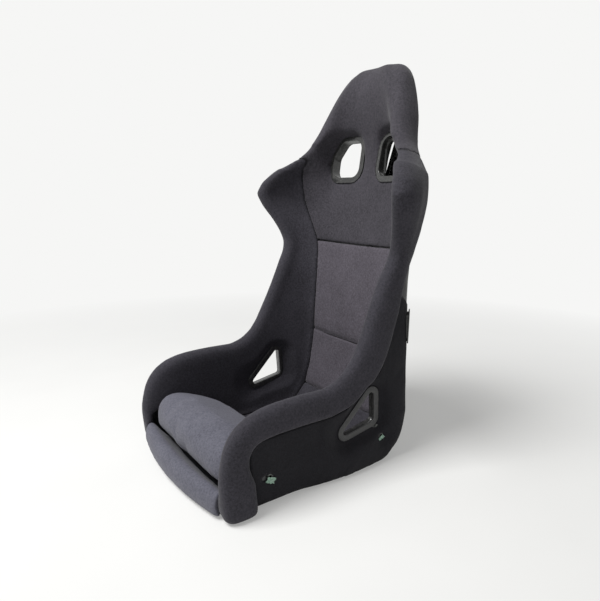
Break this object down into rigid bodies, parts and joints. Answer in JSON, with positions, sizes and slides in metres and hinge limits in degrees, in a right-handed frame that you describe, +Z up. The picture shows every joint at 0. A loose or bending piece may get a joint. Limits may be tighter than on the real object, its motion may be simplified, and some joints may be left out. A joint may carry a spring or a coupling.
{
  "type": "racing bucket seat",
  "caption": "Racing bucket seat with a laminate shell, sewn foam pads, harness slots, side mounts and a removable leg cushion.",
  "frame": {"origin": "middle of the base: centre of the seat's overall box in X and Y, at the underside of the shell", "axes": "+Z up, -Y the way the seat faces, +X to the occupant's left"},
  "size_m": [0.5578, 0.622, 0.8412],
  "materials": {
    "laminate": "satin",
    "panel_cloth": "brushed knit",
    "head_cloth": "brushed knit",
    "bolster_cloth": "brushed knit",
    "cushion_cloth": "brushed knit",
    "side_cloth": "brushed knit",
    "hook_and_loop": "matt",
    "bezel_plastic": "gloss",
    "bezel_backing": "satin",
    "insert_steel": "zinc plated"
  },
  "bodies": {
    "seat": {"shell": "laminate", "pan_pad": "bolster_cloth", "lumbar_pad": "panel_cloth", "back_pad": "panel_cloth", "shoulder_pad": "panel_cloth", "head_pad": "head_cloth", "front_roll": "cushion_cloth", "bolster_left": "bolster_cloth", "bolster_right": "bolster_cloth", "side_cover_left": "side_cloth", "side_cover_right": "side_cloth", "pan_hook_strips": "hook_and_loop", "shoulder_bezel_left": "bezel_plastic", "shoulder_bezel_right": "bezel_plastic", "shoulder_backing_left": "bezel_backing", "shoulder_backing_right": "bezel_backing", "lap_bezel_left": "bezel_plastic", "lap_bezel_right": "bezel_plastic", "lap_backing_left": "bezel_backing", "lap_backing_right": "bezel_backing", "vent_bezel_left": "bezel_plastic", "vent_bezel_right": "bezel_plastic", "crotch_bezel": "bezel_plastic", "mount_plate_left": "insert_steel", "mount_plate_right": "insert_steel"},
    "cushion": {"leg_cushion": "cushion_cloth", "cushion_loop_strips": "hook_and_loop"}
  },
  "joints": [
    {"name": "cushion_lift", "type": "slide", "parent": "seat", "child": "cushion", "axis": [0, 0, 1], "range_m": [0, 0.26]}
  ]
}
